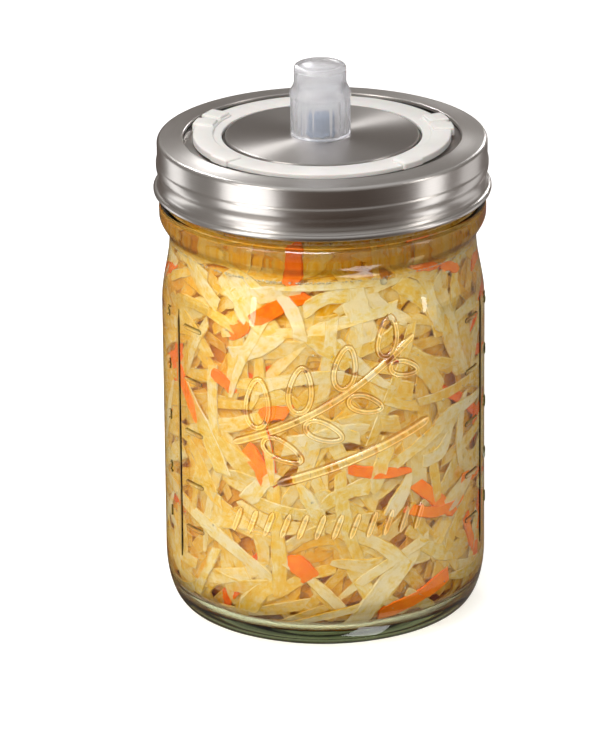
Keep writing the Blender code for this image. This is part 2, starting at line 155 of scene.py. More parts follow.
# Colours of the glass by how far its surface slopes away from the straight wall, from 0 to 1. The amber and
# dark colours on the flanks of the raised lines and the bead are painted shade; the flank glow is a painted
# highlight.
WALL_TINT = (0.985, 0.99, 0.965)
ORNAMENT_FLANK_SHADE = [(0.0, WALL_TINT), (0.05, (1.0, 0.95, 0.80)), (0.3, (0.56, 0.38, 0.13))]
SCALE_FLANK_SHADE = [(0.0, WALL_TINT), (0.03, (0.46, 0.44, 0.28)), (0.12, (0.17, 0.18, 0.09))]
BEAD_FLANK_SHADE = [
    (0.02, WALL_TINT),
    (0.10, (0.90, 0.87, 0.62)),
    (0.14, (0.42, 0.38, 0.13)),
    (0.5, (0.30, 0.26, 0.08)),
    (0.6, WALL_TINT),
]
# Strength of the painted highlight, a glow on the flanks of the ornament and, weaker, of the scale
ORNAMENT_HIGHLIGHT_STRENGTH = 0.34
SCALE_HIGHLIGHT_STRENGTH = 0.14
# Colour of the painted highlight glow, by slope
FLANK_PAINTED_HIGHLIGHT = [
    (0.01, (0.0, 0.0, 0.0)),
    (0.05, (1.0, 0.80, 0.45)),
    (0.14, (1.0, 0.80, 0.45)),
    (0.26, (0.0, 0.0, 0.0)),
]

# Colours of the shreds, from the palest to the deepest. A strip's own draw and mottling give its own varied
# colour; its depth in the heap moves it towards the deep golden end, which is painted shade.
CABBAGE_STOPS = [
    (0.05, (0.88, 0.86, 0.86)),
    (0.30, (0.86, 0.77, 0.52)),
    (0.60, (0.85, 0.63, 0.16)),
    (1.00, (0.82, 0.48, 0.02)),
]
CARROT_STOPS = [(0.0, (1.0, 0.29, 0.004)), (0.5, (0.96, 0.21, 0.002)), (1.0, (0.80, 0.12, 0.001))]

# Studio: brightness of the walls round about, from the back over the left, front and right, and upwards
WALL_STOPS = [
    (0.05, (0.07, 0.05, 0.04)),
    (0.20, (0.20, 0.19, 0.18)),
    (0.36, (0.16, 0.14, 0.13)),
    (0.46, (0.07, 0.05, 0.04)),
    (0.58, (0.05, 0.035, 0.028)),
    (0.75, (0.16, 0.14, 0.13)),
    (0.95, (0.13, 0.11, 0.10)),
]
CEILING_STOPS = [
    (0.0, (0.20, 0.185, 0.17)),
    (0.45, (0.17, 0.155, 0.145)),
    (0.8, (0.42, 0.41, 0.40)),
    (1.0, (0.5, 0.5, 0.5)),
]
WORLD_STRENGTH = 1.3
LAMP_TARGET = (0.0, 0.0, 0.07)

# Contents
FILL_TOP_Z = 121.0 * MM
BRINE_TOP_Z = FILL_TOP_Z + 1.4 * MM
BRINE_REACH = 0.12 * MM
SHRED_SEED = 5
NECK_CLEAR = 2.4 * MM
# Depth behind the glass at which the shreds' painted shade is deepest
DEEPEST_SHADE_DEPTH = 4.5 * MM
CORE_BEHIND = 4.6 * MM
LAYERS = [(230, 1.0 * MM), (340, 1.7 * MM), (380, 2.5 * MM), (300, 3.5 * MM)]
TOP_SHREDS = 70
BACK_CARROT_SHARE = 0.06
FRONT_CARROT_SHARE = 0.008
TOP_CARROT_SHARE = 0.1
GOLDEN_TURN = 2.399963
BUBBLE_SEED = 3
LINE_BUBBLES = 300
BUBBLE_LINE_Z = 105.7 * MM
STRAY_BUBBLES = 90
# Shreds foremost at the front, in degrees and mm: angle from the front, height, tilt, length, width
FRONT_CARROTS = [
    (-20, 97.2, 24, 22, 4.6),
    (-12, 110.3, 75, 13, 5.5),
    (-33, 91.2, 35, 8, 4.0),
    (44, 106.9, -4, 9, 4.0),
    (58, 103.4, 0, 8, 3.5),
    (84, 100.0, 5, 10, 3.5),
    (-61, 67.4, -50, 16, 4.0),
    (-41, 75.1, -35, 9, 3.5),
    (-20, 68.2, 14, 9, 4.0),
    (-26, 52.9, -55, 12, 5.0),
    (22, 51.2, -8, 20, 3.4),
    (46, 39.5, -40, 20, 4.4),
    (68, 24.4, -66, 13, 3.5),
    (37, 12.6, 18, 24, 4.6),
    (-10, 24.5, -37, 9, 5.5),
]
FRONT_CABBAGES = [
    (23, 16.9, 50, 27, 6.2),
    (21, 52.5, 70, 15, 4.8),
    (29, 43.6, 62, 13, 4.5),
    (48, 54.4, 32, 14, 4.0),
    (7, 45.4, 26, 16, 4.5),
    (-6, 43.5, -62, 13, 4.0),
    (-35, 100.4, -48, 15, 8.5),
    (-12, 96.0, -62, 13, 4.0),
    (14, 96.4, -76, 16, 7.0),
    (1, 100.4, 20, 14, 4.0),
    (25, 96.7, -45, 14, 4.0),
    (-26, 86.5, 22, 17, 5.0),
    (2, 87.1, -30, 15, 6.0),
    (-25, 46.8, 42, 13, 5.0),
    (46, 94.4, -75, 16, 5.0),
    (46, 24.5, -30, 15, 4.5),
]


def clear_scene():
    for obj in list(bpy.data.objects):
        bpy.data.objects.remove(obj, do_unlink=True)


# Materials


class NodeTree:
    """Adds nodes to a tree and links them."""

    def __init__(self, tree):
        self.tree = tree

    def add(self, kind, **settings):
        node = self.tree.nodes.new("ShaderNode" + kind)
        for key, value in settings.items():
            setattr(node, key, value)
        return node

    def link(self, source, target):
        self.tree.links.new(source, target)

    def math(self, operation, a, b=None):
        node = self.add("Math", operation=operation)
        for socket, value in zip(node.inputs, (a, b)):
            if isinstance(value, (int, float)):
                socket.default_value = value
            elif value is not None:
                self.link(value, socket)
        return node.outputs[0]

    def ramp(self, factor, stops):
        node = self.add("ValToRGB")
        elements = node.color_ramp.elements
        while len(elements) < len(stops):
            elements.new(0.5)
        for element, (position, colour) in zip(elements, stops):
            element.position = position
            element.color = (*colour, 1.0)
        self.link(factor, node.inputs["Fac"])
        return node.outputs["Color"]

    def mix(self, factor, a, b):
        node = self.add("Mix", data_type="RGBA")
        self.link(factor, node.inputs["Factor"])
        self.link(a, node.inputs["A"])
        self.link(b, node.inputs["B"])
        return node.outputs["Result"]

    def split(self, vector):
        node = self.add("SeparateXYZ")
        self.link(vector, node.inputs["Vector"])
        return node.outputs

    def noise(self, vector, scale, detail=2.0):
        node = self.add("TexNoise")
        node.inputs["Scale"].default_value = scale
        node.inputs["Detail"].default_value = detail
        self.link(vector, node.inputs["Vector"])
        return node.outputs["Fac"]


class Nodes(NodeTree):
    """The node tree of a new material, with its Principled shader at hand."""

    def __init__(self, name):
        self.material = bpy.data.materials.new(name)
        self.material.use_nodes = True
        super().__init__(self.material.node_tree)
        self.shader = self.tree.nodes["Principled BSDF"]
        self.output = self.tree.nodes["Material Output"]

    def set(self, **values):
        for key, value in values.items():
            self.shader.inputs[key.replace("_", " ")].default_value = value

    def object_coordinates(self):
        return self.add("TexCoord").outputs["Object"]

    def bump(self, height, strength, distance):
        node = self.add("Bump")
        node.inputs["Strength"].default_value = strength
        node.inputs["Distance"].default_value = distance
        self.link(height, node.inputs["Height"])
        self.link(node.outputs["Normal"], self.shader.inputs["Normal"])

    def mix_with_clear(self, factor, tint):
        """Shows the shader, and by the factor what lies behind the surface instead, in the colour tint."""
        clear = self.add("BsdfTransparent")
        clear.inputs["Color"].default_value = (*tint, 1.0)
        mix = self.add("MixShader")
        self.link(factor, mix.inputs["Fac"])
        self.link(self.shader.outputs["BSDF"], mix.inputs[1])
        self.link(clear.outputs["BSDF"], mix.inputs[2])
        self.link(mix.outputs["Shader"], self.output.inputs["Surface"])

    def lets_lamps_through(self, tint):
        """Rays from lamps pass straight through, so that what lies behind the surface is lit."""
        self.mix_with_clear(self.add("LightPath").outputs["Is Shadow Ray"], tint)

    def absorbs(self, colour, density):
        volume = self.add("VolumeAbsorption")
        volume.inputs["Color"].default_value = (*colour, 1.0)
        volume.inputs["Density"].default_value = density
        self.link(volume.outputs["Volume"], self.output.inputs["Volume"])


def wall_slope(n, coordinates):
    """How far the glass slopes away from the upright wall, 0 to 1, and how far to the side it faces."""
    flat = n.add("VectorMath", operation="MULTIPLY")
    n.link(coordinates.outputs["Object"], flat.inputs[0])
    flat.inputs[1].default_value = (1.0, 1.0, 0.0)
    outwards = n.add("VectorMath", operation="NORMALIZE")
    n.link(flat.outputs["Vector"], outwards.inputs[0])
    facing = n.add("VectorMath", operation="DOT_PRODUCT")
    n.link(outwards.outputs["Vector"], facing.inputs[0])
    n.link(coordinates.outputs["Normal"], facing.inputs[1])
    slope = n.math("SUBTRACT", 1.0, n.math("ABSOLUTE", facing.outputs["Value"]))
    return slope, n.math("ABSOLUTE", n.split(outwards.outputs["Vector"])[0])


def glass_material():
    """Clear glass. The flanks of its raised lines and bead are painted amber, darker on the scale, as
    painted shade, and the flanks of its lines glow with a painted highlight.
    """
    n = Nodes("jar_glass")
    coordinates = n.add("TexCoord")
    slope, sideways = wall_slope(n, coordinates)
    z = n.split(coordinates.outputs["Object"])[2]
    low, high = RELIEF_ZS
    on_wall = n.math("MULTIPLY", n.math("GREATER_THAN", z, low), n.math("LESS_THAN", z, high))
    at_bead = n.math("GREATER_THAN", z, BEAD_RELIEF_Z)
    slope = n.math("MULTIPLY", slope, n.math("ADD", on_wall, at_bead))
    on_scale = n.math("MULTIPLY", on_wall, n.math("GREATER_THAN", sideways, SCALE_SIDE))
    # Painted shade: the sloping flanks of the raised lines and the bead turn amber, or dark on the scale
    relief = n.mix(on_scale, n.ramp(slope, ORNAMENT_FLANK_SHADE), n.ramp(slope, SCALE_FLANK_SHADE))
    n.link(n.mix(at_bead, relief, n.ramp(slope, BEAD_FLANK_SHADE)), n.shader.inputs["Base Color"])
    # Painted highlight: the flanks of the raised lines glow
    n.link(n.ramp(slope, FLANK_PAINTED_HIGHLIGHT), n.shader.inputs["Emission Color"])
    less = n.math("MULTIPLY", on_scale, ORNAMENT_HIGHLIGHT_STRENGTH - SCALE_HIGHLIGHT_STRENGTH)
    strength = n.math("SUBTRACT", n.math("MULTIPLY", on_wall, ORNAMENT_HIGHLIGHT_STRENGTH), less)
    n.link(strength, n.shader.inputs["Emission Strength"])
    raised = n.math("GREATER_THAN", slope, 0.004)
    n.link(n.math("MULTIPLY", raised, 0.04), n.shader.inputs["Roughness"])
    n.set(IOR=1.5, Transmission_Weight=1.0)
    n.bump(n.noise(coordinates.outputs["Object"], 60.0, 1.0), 0.25, 0.0006)
    n.lets_lamps_through((0.97, 0.975, 0.95))
    n.absorbs((0.74, 0.86, 0.60), 30.0)
    return n.material


def brine_material():
    n = Nodes("brine")
    n.set(Base_Color=(1.0, 0.985, 0.93, 1), Roughness=0.0, IOR=1.34, Specular_IOR_Level=0.1)
    n.set(Transmission_Weight=1.0)
    n.lets_lamps_through((0.99, 0.98, 0.95))
    n.absorbs((0.98, 0.74, 0.0), 230.0)
    return n.material


def bubble_material():
    n = Nodes("bubbles")
    n.set(Base_Color=(1.0, 1.0, 0.97, 1), Roughness=0.03, IOR=1.45, Transmission_Weight=0.6)
    n.bump(n.noise(n.object_coordinates(), 900.0, 1.0), 0.1, 0.0001)
    return n.material


def shred_material(name, stops, bump, see_through, glow, tint):
    """Wet vegetable: colour by each strip's own draw, mottled along its fibres, and by its depth in the
    heap, which paints shade: deeper strips are darker and more golden.

    see_through is the share of a strip that shows what lies behind it, and glow the share of a lamp's light
    that passes on through it, both in the colour tint.
    """
    n = Nodes(name)
    depth = n.add("Attribute", attribute_name="depth").outputs["Fac"]
    strand = n.add("Attribute", attribute_name="strand").outputs["Vector"]
    own = n.add("NewGeometry").outputs["Random Per Island"]
    stretched = n.add("VectorMath", operation="MULTIPLY")
    n.link(strand, stretched.inputs[0])
    stretched.inputs[1].default_value = (1.0, 0.3, 1.0)
    mottle = n.math("SUBTRACT", n.noise(strand, 420.0, 4.0), 0.5)
    fibres = n.noise(stretched.outputs["Vector"], 1500.0, 3.0)
    streak = n.math("SUBTRACT", fibres, 0.5)
    # Depth in the heap pushes the colour to the deep golden end: painted shade
    mixed = n.math("ADD", n.math("MULTIPLY", depth, 0.55), n.math("MULTIPLY", own, 0.5))
    mixed = n.math("ADD", mixed, n.math("MULTIPLY", mottle, 1.5))
    mixed = n.math("ADD", mixed, n.math("MULTIPLY", streak, 0.9))
    n.link(n.ramp(mixed, stops), n.shader.inputs["Base Color"])
    n.set(Roughness=0.45, Specular_IOR_Level=0.02)
    n.bump(fibres, bump, 0.0003)
    lamp_ray = n.add("LightPath").outputs["Is Shadow Ray"]
    n.mix_with_clear(n.math("ADD", n.math("MULTIPLY", lamp_ray, glow - see_through), see_through), tint)
    return n.material


def round_brush(n, fine):
    """Fine streaks that run round the jar's axis, as a factor."""
    x, y, z = n.split(n.object_coordinates())
    radius = n.math("SQRT", n.math("ADD", n.math("MULTIPLY", x, x), n.math("MULTIPLY", y, y)))
    radius_safe = n.math("MAXIMUM", radius, 0.0005)
    across = n.math("MULTIPLY", n.math("ADD", radius, z), fine)
    vector = n.add("CombineXYZ")
    n.link(n.math("MULTIPLY", n.math("DIVIDE", x, radius_safe), 4.0), vector.inputs[0])
    n.link(n.math("MULTIPLY", n.math("DIVIDE", y, radius_safe), 4.0), vector.inputs[1])
    n.link(across, vector.inputs[2])
    return n.noise(vector.outputs["Vector"], 1.0, 3.0)


def steel_material(name, colour, roughness, anisotropy):
    n = Nodes(name)
    n.set(Metallic=1.0, Anisotropic=anisotropy, Anisotropic_Rotation=0.25)
    tangent = n.add("Tangent", direction_type="RADIAL", axis="Z")
    n.link(tangent.outputs["Tangent"], n.shader.inputs["Tangent"])
    streaks = round_brush(n, 5200.0)
    dark = tuple(c * 0.93 for c in colour)
    n.link(n.ramp(streaks, [(0.3, dark), (0.7, colour)]), n.shader.inputs["Base Color"])
    n.link(n.math("ADD", n.math("MULTIPLY", streaks, 0.08), roughness - 0.04), n.shader.inputs["Roughness"])
    n.bump(streaks, 0.04, 0.00004)
    return n.material


def white_plastic_material():
    n = Nodes("white_ring")
    where = n.object_coordinates()
    tone = n.ramp(n.noise(where, 120.0, 3.0), [(0.3, (0.76, 0.75, 0.73)), (0.7, (0.82, 0.81, 0.79))])
    n.link(tone, n.shader.inputs["Base Color"])
    n.set(Roughness=0.38, Subsurface_Weight=0.15, Subsurface_Scale=0.001)
    n.bump(n.noise(where, 1500.0, 2.0), 0.08, 0.0001)
    return n.material


def frosted_material():
    n = Nodes("airlock_cap")
    where = n.object_coordinates()
    cloud = n.ramp(n.noise(where, 90.0, 3.0), [(0.3, (0.94, 0.95, 0.98)), (0.7, (0.965, 0.97, 0.99))])
    n.link(cloud, n.shader.inputs["Base Color"])
    n.set(Roughness=0.26, IOR=1.38, Transmission_Weight=0.86)
    n.bump(n.noise(where, 700.0, 2.0), 0.08, 0.0001)
    n.lets_lamps_through((0.82, 0.82, 0.84))
    return n.material


def stem_material():
    n = Nodes("airlock_stem")
    blue = [(0.3, (0.10, 0.15, 0.23)), (0.7, (0.14, 0.20, 0.29))]
    n.link(n.ramp(n.noise(n.object_coordinates(), 150.0, 2.0), blue), n.shader.inputs["Base Color"])
    n.set(Roughness=0.5)
    return n.material


def floor_material():
    n = Nodes("floor")
    pale = [(0.0, (0.93, 0.93, 0.93)), (1.0, (0.95, 0.95, 0.95))]
    n.link(n.ramp(n.noise(n.object_coordinates(), 3.0, 2.0), pale), n.shader.inputs["Base Color"])
    n.set(Roughness=0.9, Specular_IOR_Level=0.1)
    n.shader.inputs["Emission Color"].default_value = (1, 1, 1, 1)
    seen = n.add("LightPath").outputs["Is Camera Ray"]
    n.link(n.math("MULTIPLY", seen, 0.5), n.shader.inputs["Emission Strength"])
    return n.material


# Shapes


def add_mesh(name, verts, faces, material, smooth_angle=35.0):
    mesh = bpy.data.meshes.new(name)
    mesh.from_pydata([tuple(v) for v in verts], [], faces)
    bm = bmesh.new()
    bm.from_mesh(mesh)
    if bm.calc_volume(signed=True) < 0:
        bmesh.ops.reverse_faces(bm, faces=bm.faces)
    bm.to_mesh(mesh)
    bm.free()
    mesh.shade_smooth()
    mesh.set_sharp_from_angle(angle=math.radians(smooth_angle))
    if material:
        mesh.materials.append(material)
    obj = bpy.data.objects.new(name, mesh)
    bpy.context.scene.collection.objects.link(obj)
    return obj


def arc(centre_r, centre_z, radius, start, end, steps):
    points = []
    for i in range(steps + 1):
        angle = math.radians(start + (end - start) * i / steps)
        points.append((centre_r + radius * math.cos(angle), centre_z + radius * math.sin(angle)))
    return points


def ease(start, end, steps):
    points = []
    for i in range(steps + 1):
        t = i / steps
        s = t * t * (3 - 2 * t)
        points.append((start[0] + (end[0] - start[0]) * s, start[1] + (end[1] - start[1]) * t))
    return points


def rounded(profile, radius, steps=3):
    """The same closed profile with each of its corners rounded."""
    points = []
    corners = [Vector(corner) for corner in profile]
    for i, here in enumerate(corners):
        a = here + (corners[i - 1] - here).normalized() * radius
        b = here + (corners[(i + 1) % len(corners)] - here).normalized() * radius
        for k in range(steps + 1):
            t = k / steps
            p = a.lerp(here, t).lerp(here.lerp(b, t), t)
            points.append((p.x, p.y))
    return points


def lathe(name, profile, sides, material, smooth_angle=35.0):
    """A closed profile of (r, z) points turned about Z; two neighbours on the axis are left unjoined."""
    verts = []
    rings = []
    for r, z in profile:
        if r == 0.0:
            rings.append([len(verts)] * sides)
            verts.append((0.0, 0.0, z))
            continue
        start = len(verts)
        rings.append([start + k for k in range(sides)])
        for k in range(sides):
            turn = math.tau * k / sides
            verts.append((r * math.cos(turn), r * math.sin(turn), z))
    faces = []
    for i, ring in enumerate(rings):
        following = rings[(i + 1) % len(rings)]
        if ring[0] == ring[1] and following[0] == following[1]:
            continue
        for k in range(sides):
            j = (k + 1) % sides
            corners = [ring[k], ring[j], following[j], following[k]]
            faces.append([c for n, c in enumerate(corners) if c not in corners[:n]])
    return add_mesh(name, verts, faces, material, smooth_angle)


def swept(collection, points, half_width, proud, closed=False):
    """A raised line on the glass: a rounded section moved along (across, z) points on the wall."""
    steps = 10
    section = []
    for i in range(steps + 1):
        s = 2 * i / steps - 1
        section.append((s * half_width, proud * (1 - abs(s) ** 3)))
    section = [(-half_width, -1.0 * MM), *section, (half_width, -1.0 * MM)]
    count, size = len(points), len(section)
    verts = []
    for i, (across, z) in enumerate(points):
        before = points[i - 1] if closed or i > 0 else points[i]
        after = points[(i + 1) % count] if closed or i < count - 1 else points[i]
        way = Vector((after[0] - before[0], after[1] - before[1])).normalized()
        at_end = not closed and i in (0, count - 1)
        scale = 0.5 if at_end else 1.0
        for side, height in section:
            height = height * scale if height > 0 else height
            verts.append(on_glass(across - way.y * side * scale, z + way.x * side * scale, height))
    faces = []
    for i in range(count if closed else count - 1):
        a, b = i * size, ((i + 1) % count) * size
        faces += [(a + k, a + (k + 1) % size, b + (k + 1) % size, b + k) for k in range(size)]
    if not closed:
        faces += [tuple(range(size))[::-1], tuple((count - 1) * size + k for k in range(size))]
    obj = add_mesh("raised_line", verts, faces, None)
    bpy.context.scene.collection.objects.unlink(obj)
    collection.objects.link(obj)


def add_operand(collection, name, bm):
    """Ends bm as a closed shape of the collection, with its faces turned outwards."""
    bmesh.ops.recalc_face_normals(bm, faces=bm.faces)
    if bm.calc_volume(signed=True) < 0:
        bmesh.ops.reverse_faces(bm, faces=bm.faces)
    mesh = bpy.data.meshes.new(name)
    bm.to_mesh(mesh)
    bm.free()
    collection.objects.link(bpy.data.objects.new(name, mesh))


def union(obj, collection, smooth_angle):
    """Joins the collection's shapes to obj and removes them."""
    step = obj.modifiers.new("Union", "BOOLEAN")
    step.operation = "UNION"
    step.operand_type = "COLLECTION"
    step.collection = collection
    step.solver = "MANIFOLD"
    bpy.context.view_layer.update()
    mesh = bpy.data.meshes.new_from_object(obj.evaluated_get(bpy.context.evaluated_depsgraph_get()))
    obj.modifiers.clear()
    obj.data = mesh
    for helper in list(collection.objects):
        bpy.data.objects.remove(helper, do_unlink=True)
    bpy.data.collections.remove(collection)
    mesh.shade_smooth()
    mesh.set_sharp_from_angle(angle=math.radians(smooth_angle))


def new_collection(name):
    collection = bpy.data.collections.new(name)
    bpy.context.scene.collection.children.link(collection)
    return collection


# Glass and brine


def glass_outside():
    heel_r = BODY_R - FOOT_R - FOOT_EDGE
    heel = []
    for i in range(1, 16):
        turn = math.radians(90 * i / 16)
        drop = (HEEL_HEIGHT - FOOT_EDGE) * math.sin(turn)
        heel.append((BODY_R - heel_r * (1 - math.cos(turn)), HEEL_HEIGHT - drop))
    return [
        *arc(MOUTH_R + 1.0 * MM, RIM_Z - 1.0 * MM, 1.0 * MM, 150, 90, 3),
        *arc(FINISH_R - 1.0 * MM, RIM_Z - 1.0 * MM, 1.0 * MM, 90, 0, 4),
        *arc(FINISH_R - 0.2 * MM, 127.0 * MM, 1.2 * MM, 80, -80, 6),
        (FINISH_R, 120.0 * MM),
        (FINISH_R, BEAD_HIGH_Z + 0.6 * MM),
        *arc(BEAD_R - 1.7 * MM, BEAD_HIGH_Z - 1.7 * MM, 1.7 * MM, 84, 0, 8),
        (BEAD_R, BEAD_LOW_Z + 2.0 * MM),
        *ease((BEAD_R, BEAD_LOW_Z + 1.6 * MM), (NECK_R, NECK_Z), 14)[1:],
        *ease((NECK_R, NECK_Z), (BODY_R, SHOULDER_Z), 20)[1:],
        (BODY_R, 64.0 * MM),
        (BODY_R, 40.0 * MM),
        (BODY_R, HEEL_HEIGHT),
        *heel,
        *arc(FOOT_R - FOOT_EDGE, FOOT_EDGE, FOOT_EDGE, -20, -90, 5),
        (PUSH_UP_R, 0.0),
        *ease((PUSH_UP_R - 0.4 * MM, 0.15 * MM), (PUSH_UP_R - 3.0 * MM, PUSH_UP), 4),
        (PUSH_UP_R * 0.5, PUSH_UP + 0.4 * MM),
        (0.0, PUSH_UP + 0.6 * MM),
    ]


def inner_wall(grow=0.0):
    """The inner wall from the floor's middle up to the mouth, moved out into the glass by grow."""
    inner_r = BODY_R - WALL
    heel = INNER_HEEL_R + grow
    return [
        (0.0, FLOOR_Z + 0.5 * MM - grow),
        (16.0 * MM, FLOOR_Z + 0.2 * MM - grow),
        *arc(inner_r - INNER_HEEL_R, FLOOR_Z + INNER_HEEL_R, heel, -90, 0, 12),
        (inner_r + grow, 40.0 * MM),
        (inner_r + grow, 64.0 * MM),
        (inner_r + grow, SHOULDER_Z),
        *ease((inner_r + grow, SHOULDER_Z), (MOUTH_R + grow, NECK_Z), 14)[1:],
    ]


WALL_ZS = np.array([z for _, z in inner_wall()[2:]])
WALL_RS = np.array([r for r, _ in inner_wall()[2:]])


def wall_radius(z):
    return float(np.interp(z, WALL_ZS, WALL_RS))


def outer_radius(z):
    if z <= SHOULDER_Z:
        return BODY_R
    t = min(1.0, (z - SHOULDER_Z) / (NECK_Z - SHOULDER_Z))
    return BODY_R + (NECK_R - BODY_R) * t * t * (3 - 2 * t)


def on_glass(across, z, proud):
    """A point that far across the jar's front along the wall, at height z, and proud of the glass."""
    radius = outer_radius(z) + proud
    turn = across / BODY_R
    return (radius * math.sin(turn), -radius * math.cos(turn), z)


def leaf(base, angle, length, width, steps=26):
    """The round-tipped outline of a leaf from its base, as (across, z) points."""
    c, s = math.cos(angle), math.sin(angle)
    outline = []
    for i in range(steps):
        turn = math.tau * i / steps
        x = length / 2 * (1 - math.cos(turn))
        y = width / 2 * math.sin(turn) * (1 + 0.25 * math.cos(turn))
        outline.append((base[0] + x * c - y * s, base[1] + x * s + y * c))
    return outline


def line_between(start, end, steps, sag=0.0):
    points = []
    for i in range(steps + 1):
        t = i / steps
        drop = sag * math.sin(math.pi * t)
        points.append((start[0] + (end[0] - start[0]) * t, start[1] + (end[1] - start[1]) * t - drop))
    return points


def add_ornament(collection):
    """A sprig with paired leaves that climbs to the right, a stroke under it, and a row of slanted bars."""
    stem = line_between(SPRIG_START, SPRIG_END, 44, 3.0 * MM)
    swept(collection, stem, STROKE, PROUD)
    climb = math.atan2(SPRIG_END[1] - SPRIG_START[1], SPRIG_END[0] - SPRIG_START[0])
    stalk = 2.4 * MM
    for i, k in enumerate(range(6, 42, 10)):
        for side in (1, -1):
            size = LEAF_LENGTH - i * MM - (2.5 * MM if side < 0 else 0.0)
            lean = climb + side * math.radians(56 - 3 * i)
            base = (stem[k][0] + stalk * math.cos(lean), stem[k][1] + stalk * math.sin(lean))
            swept(collection, leaf(base, lean, size, size * 0.46), STROKE * 0.72, PROUD * 0.85, True)
    swept(collection, line_between(STROKE_START, STROKE_END, 28), STROKE * 1.25, PROUD * 1.15)
    low, high = BAR_ZS
    for i in range(BAR_COUNT):
        across = BAR_START + BAR_STEP * i
        bar = line_between((across - BAR_LEAN, low), (across + BAR_LEAN, high), 6)
        swept(collection, bar, STROKE * 0.85, PROUD * 0.9)


def add_scale(collection):
    """The raised line, ticks and numbers of the measuring scale on both sides."""
    for side in (-1, 1):
        line = BODY_R * math.radians(SCALE_CENTRE + side * SCALE_LINE)
        low, high = SCALE_LINE_ZS
        swept(collection, line_between((line, low), (line, high), 24), 0.95 * MM, SCALE_PROUD)
        tick = BODY_R * math.radians(SCALE_CENTRE + side * SCALE_TICK)
        number = BODY_R * math.radians(SCALE_CENTRE + side * SCALE_NUMBER)
        half = SCALE_TICK_LENGTH / 2
        for i, z in enumerate(SCALE_TICK_ZS):
            swept(collection, line_between((tick - half, z), (tick + half, z), 10), 0.8 * MM, SCALE_PROUD)
            add_number(collection, str(i + 1), number, z + 1.0 * MM, 4.4 * MM)


def add_number(collection, text, across, z, size):
    """A raised number, bent round the glass."""
    curve = bpy.data.curves.new("number", "FONT")
    curve.body = text
    curve.size = size
    curve.align_x = "CENTER"
    curve.align_y = "CENTER"
    curve.resolution_u = 3
    curve.extrude = SCALE_PROUD
    holder = bpy.data.objects.new("number", curve)
    mesh = bpy.data.meshes.new_from_object(holder)
    bpy.data.objects.remove(holder, do_unlink=True)
    bm = bmesh.new()
    bm.from_mesh(mesh)
    bmesh.ops.remove_doubles(bm, verts=bm.verts, dist=0.000005)
    for vert in bm.verts:
        x, y, out = vert.co
        vert.co = on_glass(across + x, z + y, out - 0.1 * MM)
    add_operand(collection, "number", bm)


def build_glass():
    inside = inner_wall() + [(MOUTH_R, 118.0 * MM), (MOUTH_R, RIM_Z - 1.4 * MM)]
    glass = lathe("glass_jar", glass_outside() + inside, GLASS_SIDES, glass_material())
    relief = new_collection("relief")
    add_ornament(relief)
    add_scale(relief)
    union(glass, relief, 28.0)
    clear = glass.data.materials[0]
    glass.data.materials.clear()
    glass.data.materials.append(clear)
    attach(glass, "root")
    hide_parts("jar_glass")
    return glass


def build_brine():
    profile = inner_wall(BRINE_REACH) + [
        (MOUTH_R + BRINE_REACH, 118.0 * MM),
        (MOUTH_R + BRINE_REACH, BRINE_TOP_Z + 0.6 * MM),
        (MOUTH_R - 1.2 * MM, BRINE_TOP_Z),
        (0.0, BRINE_TOP_Z),
    ]
    brine = lathe("brine", profile, GLASS_SIDES // 2, brine_material())
    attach(brine, "root")
    return brine


# Vegetables


def strip(length, width, thickness, bend, wave, dive, roll, ends, place, stations=11):
    """Points, faces and fibre marks of one cut strip. place maps (along, side, depth) to the jar."""
    section = [(-1.0, 0.0), (-0.86, 1.0), (0.86, 1.0), (1.0, 0.0), (0.86, -1.0), (-0.86, -1.0)]
    sections = len(section)
    taper, cut, ripple = ends
    verts, marks = [], []
    for i in range(stations):
        t = 2 * i / (stations - 1) - 1
        end = 1.0 - max(0.0, taper * t) ** 2 * 0.8
        if i in (0, stations - 1):
            end *= 0.9
            t *= 0.985
        uneven = 1 + 0.09 * math.sin(4.3 * t + ripple) + 0.05 * math.sin(11 * t + 2 * ripple)
        half_w = width / 2 * end * uneven
        half_h = thickness / 2 * (0.6 + 0.4 * end)
        side = bend * (t * t - 0.4) + wave * math.sin(2.6 * t + ripple)
        turn = roll[0] + roll[1] * t
        depth = dive[0] + dive[1] * t + dive[2] * t * t
        depth = max(depth, dive[3] + half_h + abs(half_w * math.sin(turn)))
        slope = 4 * bend * t / length
        for a, b in section:
            w, h = a * half_w, b * half_h
            cw = w * math.cos(turn) - h * math.sin(turn)
            ch = w * math.sin(turn) + h * math.cos(turn)
            along = t * length / 2 + cw * (cut * abs(t) ** 3 - slope)
            verts.append(place(along, side + cw, depth + ch))
            marks.append((w, t * length / 2 + 0.1 * ripple))
    faces = []
    for i in range(stations - 1):
        for k in range(sections):
            j = (k + 1) % sections
            a, b = i * sections, (i + 1) * sections
            faces.append((a + k, a + j, b + j, b + k))
    faces.append(tuple(range(sections))[::-1])
    faces.append(tuple((stations - 1) * sections + k for k in range(sections)))
    return verts, faces, marks


def wall_place(angle, z, tilt):
    """Lays a strip along the inner wall, depth measured inwards from the glass."""
    c, s = math.cos(tilt), math.sin(tilt)

    def place(along, side, depth):
        u = along * c - side * s
        height = z + along * s + side * c
        height = min(max(height, FLOOR_Z + 1.2 * MM), FILL_TOP_Z)
        clear = NECK_CLEAR * min(max((height - NECK_Z + 1.0 * MM) / (5.0 * MM), 0.0), 1.0)
        radius = wall_radius(height) - max(depth, 0.15 * MM) - clear
        turn = angle + u / (BODY_R - WALL)
        return (radius * math.sin(turn), -radius * math.cos(turn), height)

    return place


def top_place(x, y, tilt):
    """Lays a strip flat on the heap's top."""
    c, s = math.cos(tilt), math.sin(tilt)

    def place(along, side, depth):
        return (x + along * c - side * s, y + along * s + side * c, FILL_TOP_Z + 0.6 * MM - depth)

    return place


